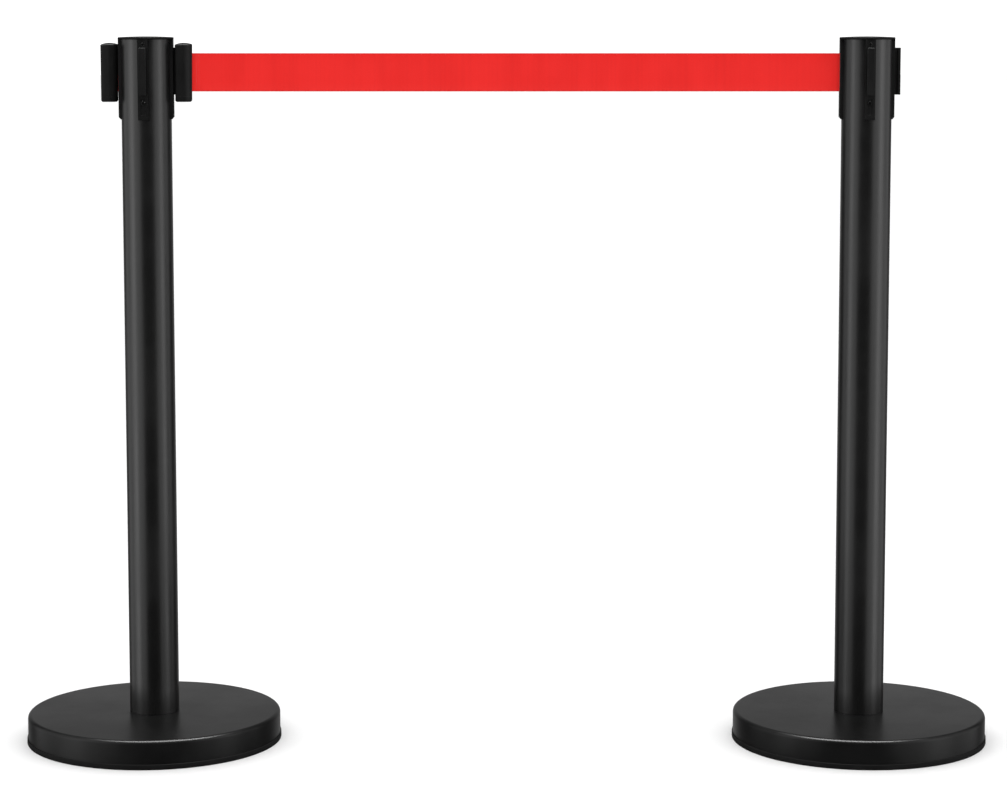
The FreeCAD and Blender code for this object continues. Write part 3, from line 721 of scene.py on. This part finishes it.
# The web's section from its top edge down to its middle, as shares of the half thickness and of
# the half width: the bound edges are a little thicker than the web between them.
WEB_SECTION = [
    (0.0, 1.0), (0.5625, 0.995), (1.0, 0.98), (1.0, 0.955), (0.75, 0.94), (0.75, 0.5), (0.75, 0.0),
]
HEM_HALF_T = 0.25 * MM
HEM_WIDTHS = (1.0, 0.97, 0.5, 0.0, -0.5, -0.97, -1.0)
HEM_OUT = 10.0 * MM           # of the sewn end, past the hooked clip
HEM_GAP = 0.02 * MM           # half of the gap between its two layers
PIN_GAP = 0.05 * MM
STITCH_ROWS = (2.0 * MM, 5.0 * MM)      # back from the hem's end
STITCHES = 15
STITCH_PITCH = 2.9 * MM
STITCH_Y = 0.52 * MM
STITCH_HALF = (0.24 * MM, 0.16 * MM, 1.15 * MM)
STITCH_TIP = 1.25 * MM        # half length at the tips, where the thread dives in
STITCH_SEGMENTS = 8
STITCH_LEVELS = 7
STITCH_SHARP_DEG = 60.0
TAIL_LENGTH = 190.0 * MM
RUN_OVERLAP = 2.0 * MM
MOUTH_REACH = 5.0 * MM        # of the linked belt, into the right head
LEAD_REACH = 6.0 * MM         # of the parked belt, past the start of its lead
CLIP_REACH = 5.0 * MM         # of the parked belt, into its clip
PARKED_HEM_IN = 1.0 * MM      # of the sewn end, inside the parked clip's edge
BOW = 0.6 * MM
RIPPLE = 0.05 * MM
RIPPLE_WAVES = ((171.0, 1.0, 0.0), (297.0, 0.6, 1.0), (83.0, 0.4, 0.0))     # (rate, share, phase)


def strip(name, x0, x1, steps, bow=0.0, half_t=WEB_HALF_T, ripple=0.0):
    """A run of belt along X, with a slow bow and a slight ripple if they are given."""
    half_w = BELT_W / 2
    section = WEB_SECTION + [(t, -w) for t, w in reversed(WEB_SECTION[:-1])]
    loop = section + [(-t, w) for t, w in reversed(section[1:-1])]
    shape = bmesh.new()
    across = shape.verts.layers.float.new("across")
    rings = []
    for k in range(steps + 1):
        share = k / steps
        x = x0 + (x1 - x0) * share
        fade = math.sin(math.pi * share)
        wave = sum(part * math.sin(x * rate + phase) for rate, part, phase in RIPPLE_WAVES)
        y = ripple * fade * wave - bow * math.sin(2 * math.pi * share)
        ring = []
        for t, w in loop:
            vert = shape.verts.new((x, y + t * half_t, BELT_MID_Z + w * half_w))
            vert[across] = abs(w)
            ring.append(vert)
        rings.append(ring)
    skin(shape, rings)
    shape.faces.new(rings[-1])
    return to_object(shape, name, "red_webbing", sharp_deg=WEB_SHARP_DEG)


def sewn_end(side, reach_x):
    """The belt's end, sewn back on itself round the clip's pin."""
    pin_low, pin_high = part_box(side + "_belt_pin")
    pin_x, pin_r = (pin_low.x + pin_high.x) / 2, (pin_high.x - pin_low.x) / 2
    half_w = BELT_W / 2
    turn_r = pin_r + HEM_HALF_T + PIN_GAP
    layer = HEM_HALF_T + HEM_GAP
    start = math.asin(layer / turn_r)
    turn_steps = 40
    straight_steps = 10
    turn = [start + (2 * math.pi - 2 * start) * k / turn_steps for k in range(turn_steps + 1)]
    loop = [Vector((pin_x + turn_r * math.cos(a), turn_r * math.sin(a))) for a in turn]
    straight = [reach_x + (loop[0].x - reach_x) * k / straight_steps for k in range(straight_steps)]
    out = [Vector((x, layer)) for x in straight]
    back = [Vector((x, -layer)) for x in reversed(straight)]
    line = out + loop + back
    shape = bmesh.new()
    across = shape.verts.layers.float.new("across")
    rings = []
    for k, point in enumerate(line):
        ahead = line[min(k + 1, len(line) - 1)] - line[max(k - 1, 0)]
        normal = Vector((-ahead.y, ahead.x)).normalized() * HEM_HALF_T
        ring = []
        for face in (1, -1):
            spot = point + normal * face
            for w in HEM_WIDTHS[::face]:
                vert = shape.verts.new((spot.x, spot.y, BELT_MID_Z + w * half_w))
                vert[across] = abs(w)
                ring.append(vert)
        rings.append(ring)
    skin(shape, rings)
    shape.faces.new(rings[-1])
    piece = to_object(shape, side + "_sewn_belt_end", "red_webbing", sharp_deg=WEB_SHARP_DEG)
    return place(piece, side + "_clip", side + "_belt_end")


def stitch(shape, x, y, z):
    """One lock stitch: a slim closed grain of thread that stands up along Z."""
    half_x, half_y, half_z = STITCH_HALF
    rings = []
    for level in range(1, STITCH_LEVELS):
        tilt = math.pi * level / STITCH_LEVELS
        ring = []
        for k in range(STITCH_SEGMENTS):
            turn = 2 * math.pi * k / STITCH_SEGMENTS
            ring.append(shape.verts.new((
                x + half_x * math.sin(tilt) * math.cos(turn),
                y + half_y * math.sin(tilt) * math.sin(turn),
                z + half_z * math.cos(tilt),
            )))
        rings.append(ring)
    top = shape.verts.new((x, y, z + STITCH_TIP))
    foot = shape.verts.new((x, y, z - STITCH_TIP))
    for k in range(STITCH_SEGMENTS):
        other = (k + 1) % STITCH_SEGMENTS
        shape.faces.new((rings[0][k], rings[0][other], top))
        for ring, following in zip(rings, rings[1:]):
            shape.faces.new((ring[k], ring[other], following[other], following[k]))
        shape.faces.new((rings[-1][k], rings[-1][other], foot))


def stitching(side, hem_x):
    """Rows of lock stitches on both faces of a sewn end."""
    shape = bmesh.new()
    for back in STITCH_ROWS:
        for k in range(STITCHES):
            z = BELT_MID_Z + (k - (STITCHES - 1) / 2) * STITCH_PITCH
            for face in (-1, 1):
                stitch(shape, hem_x - back, face * STITCH_Y, z)
    name = side + "_belt_stitching"
    piece = to_object(shape, name, "red_webbing", sharp_deg=STITCH_SHARP_DEG, finish=THREAD)
    return place(piece, side + "_clip")


def belt_runs():
    """The linked belt, in a run that pays out and a tail run beside its clip, and the parked belt."""
    hem_x = RIGHT_CLIP_EDGE_X + HEM_OUT
    join_x = hem_x + TAIL_LENGTH
    end_x = RIGHT_MOUTH_X + MOUTH_REACH

    main = strip("belt_main_run", join_x, end_x, steps=160, bow=BOW, ripple=RIPPLE)
    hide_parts("right_belt")
    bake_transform(main)

    low_x, high_x = hem_x - RUN_OVERLAP, join_x + RUN_OVERLAP
    tail = strip("belt_clip_run", low_x, high_x, steps=64, half_t=TAIL_HALF_T)
    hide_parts("right_belt")
    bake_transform(tail)
    right_hem = [sewn_end("right", hem_x), stitching("right", hem_x)]

    inner_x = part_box("left_belt_lead")[0].x + LEAD_REACH
    clip_x = LEFT_CLIP_EDGE_X - CLIP_REACH
    pulled = strip("left_belt_run", clip_x, inner_x, steps=96)
    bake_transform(pulled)
    left_hem = [sewn_end("left", LEFT_CLIP_EDGE_X - PARKED_HEM_IN)]

    # The photograph shows no red in the gloss of the posts.
    for piece in (main, tail, pulled, *right_hem, *left_hem):
        piece.visible_glossy = False


# ---- CAD nodes that stay --------------------------------------------------------------------------
HEAD_PARTS = ("cassette_body", "receiver_side", "receiver_rear", "receiver_front")
HEAD_EDGE_R = 0.25 * MM
WELD_REACH = 0.001 * MM


def finish_nodes():
    """Give every CAD node the finish of its slot."""
    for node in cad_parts.values():
        for slot in node.material_slots:
            slot.material = FINISH[slot.material.name.split(".")[0]]


def soften_head(side):
    """Round the edges of the head's mouldings, which show."""
    for part in HEAD_PARTS:
        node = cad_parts[side + "_" + part]
        weld = node.modifiers.new("weld", "WELD")
        weld.merge_threshold = WELD_REACH
        soften(node, HEAD_EDGE_R, angle_deg=40.0)


for side in SIDES:
    floor_mat(side)
    base_cover(side)
    post_tube(side)
    top_cap(side)
    clip_housing(side)
    clip_foot(side)
belt_runs()
finish_nodes()
for side in SIDES:
    soften_head(side)


# ---- studio ---------------------------------------------------------------------------------------
FLOOR_HALF = 40.0
EVEN_LIGHT = 1.30             # strength that the camera and soft light see
# What gloss sees, by the direction that it looks in: (from, to, strength at from, strength at to).
WALL_RAMP = (0.70, 0.97, 0.03, 0.42)
CEILING_RAMP = (0.4, 0.9, 0.0, 0.1)
GROUND_RAMP = (-0.9, -0.4, 0.9, 0.0)
AIM_Z = 0.88
# Softboxes on the right, each with a twin on the left: (name, place, width, height, radiance).
PAIRED_SOFTBOXES = (
    ("side_softbox", (2.5, -0.72, AIM_Z), 1.0, 3.0, 1.9),
    ("front_softbox", (2.1, -1.6, AIM_Z), 1.9, 3.0, 1.2),
    ("rear_softbox", (2.6, 0.55, AIM_Z), 1.5, 3.0, 0.8),
)
OVERHEAD_PLACE = (0, -0.3, 3.0)
OVERHEAD_SIZE = (3.0, 1.0)
OVERHEAD_RADIANCE = 42.0
CAMERA_PLACE = (0, -3.592, 0.928)
CAMERA_DIP_DEG = 6.18
CAMERA_LENS = 101.69
CAMERA_SENSOR = 36
CAMERA_SHIFT = (-0.003, -0.08)
CAMERA_FAR = 200


def floor():
    """The pale floor.  It casts no shadow and gloss doesn't see it: the world has a ground for that."""
    shape = bmesh.new()
    bmesh.ops.create_grid(shape, x_segments=1, y_segments=1, size=FLOOR_HALF)
    mesh = bpy.data.meshes.new("studio_floor")
    shape.to_mesh(mesh)
    shape.free()
    piece = new_object("studio_floor", mesh)
    n = Nodes("pale_floor")
    cloud = n.noise(3.0, 2.0)
    colour = n.mix(cloud, grey(0.86), grey(0.88))
    mesh.materials.append(n.finish(colour, 0.9, n.bump(cloud, 0.1 * MM, 0.1)))
    piece.visible_glossy = False
    piece.visible_shadow = False


def softbox(name, where, target, width, height, radiance):
    """A panel that only gloss sees, of the given radiance."""
    data = bpy.data.lights.new(name, "AREA")
    data.shape = "RECTANGLE"
    data.size = width
    data.size_y = height
    data.energy = radiance * math.pi * width * height
    lamp = new_object(name, data)
    lamp.location = where
    lamp.rotation_euler = (Vector(target) - Vector(where)).to_track_quat("-Z", "Y").to_euler()
    lamp.visible_camera = False
    lamp.visible_diffuse = False


def sky():
    """Even white for soft light, which gloss sees as a dim room: bright wall behind, pale ground."""
    world = bpy.data.worlds.new("studio")
    bpy.context.scene.world = world
    world.use_nodes = True
    world.cycles.sampling_method = "NONE"
    n = Tree(world.node_tree)
    background = next(node for node in n.tree.nodes if node.type == "BACKGROUND")
    background.inputs["Color"].default_value = (1, 1, 1, 1)
    direction = n.add("ShaderNodeSeparateXYZ")
    n.put(direction.inputs[0], n.add("ShaderNodeTexCoord").outputs["Generated"])
    wall = n.ramp(direction.outputs["Y"], *WALL_RAMP)
    ceiling = n.ramp(direction.outputs["Z"], *CEILING_RAMP)
    ground = n.ramp(direction.outputs["Z"], *GROUND_RAMP)
    room = n.math("ADD", n.math("ADD", wall, ceiling), ground)
    path = n.add("ShaderNodeLightPath")
    plain = n.math("ADD", path.outputs["Is Camera Ray"], path.outputs["Is Diffuse Ray"])
    gloss = n.math("MULTIPLY", room, n.math("SUBTRACT", 1.0, plain))
    even = n.math("MULTIPLY", plain, EVEN_LIGHT)
    n.put(background.inputs["Strength"], n.math("ADD", gloss, even))


def softboxes():
    """The lamps that draw the streaks along the tubes and the sheen on the bases."""
    for sign in (-1, 1):
        for name, (x, y, z), width, height, radiance in PAIRED_SOFTBOXES:
            softbox(name, (sign * x, y, z), (0, 0, AIM_Z), width, height, radiance)
    target = (OVERHEAD_PLACE[0], OVERHEAD_PLACE[1], 0)
    softbox("overhead_softbox", OVERHEAD_PLACE, target, *OVERHEAD_SIZE, OVERHEAD_RADIANCE)


def view():
    """The photograph's view."""
    data = bpy.data.cameras.new("camera")
    camera = new_object("camera", data)
    bpy.context.scene.camera = camera
    camera.location = CAMERA_PLACE
    camera.rotation_euler = (math.radians(90 - CAMERA_DIP_DEG), 0, 0)
    data.lens = CAMERA_LENS
    data.sensor_width = CAMERA_SENSOR
    data.shift_x, data.shift_y = CAMERA_SHIFT
    data.clip_end = CAMERA_FAR
    bpy.context.scene.view_settings.view_transform = "Standard"


floor()
sky()
softboxes()
view()
